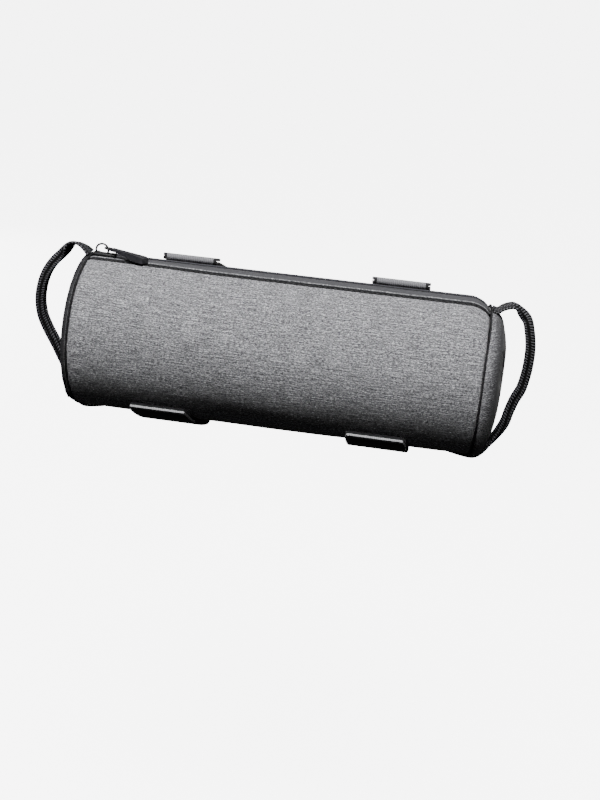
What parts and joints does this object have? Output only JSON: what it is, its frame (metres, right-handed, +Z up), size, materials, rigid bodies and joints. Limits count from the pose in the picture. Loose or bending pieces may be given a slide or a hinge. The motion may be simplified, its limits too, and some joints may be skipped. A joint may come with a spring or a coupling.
{
  "type": "bicycle handlebar bag",
  "caption": "Round padded cloth handlebar bag with domed ends, a zip along its top, webbing loops at its ends and hook-and-loop straps that go round a handlebar.",
  "frame": {"origin": "on the axis of the handlebar that the bag hangs from, midway between its two straps", "axes": "+X along the handlebar and the bag, to the right when the front of the bag is looked at; -Y out of the bag's front; +Z up"},
  "size_m": [0.2865, 0.1265, 0.0984],
  "materials": {
    "melange_cloth": "grey melange polyester, plain weave, foam-backed",
    "piping": "black cord piping",
    "zip_tape": "dark grey woven polyester tape",
    "zip_teeth": "black nylon coil",
    "zip_metal": "black lacquered zinc",
    "zip_pull": "black moulded rubbery plastic, glossy",
    "webbing": "black ribbed nylon webbing",
    "loop_strap": "black brushed loop tape",
    "hook_strap": "black hook tape with a ribbed selvedge"
  },
  "bodies": {
    "bag": {"main_panel": "melange_cloth", "end_cap_left": "melange_cloth", "end_cap_right": "melange_cloth", "rim_piping_left": "piping", "rim_piping_right": "piping", "zip_tape_front": "zip_tape", "zip_tape_rear": "zip_tape", "zip_chain": "zip_teeth", "zip_slider": "zip_metal", "end_loop_left": "webbing", "end_loop_right": "webbing", "upper_strap_left": "loop_strap", "upper_strap_right": "loop_strap", "lower_strap_left": "hook_strap", "lower_strap_right": "hook_strap"},
    "puller": {"zip_pull": "zip_pull"}
  },
  "joints": [
    {"name": "zip_pull_swing", "type": "hinge", "parent": "bag", "child": "puller", "pos_m": [-0.10965, -0.06225, 0.0377], "axis": [0, -1, 0], "range_deg": [0, 150]}
  ]
}
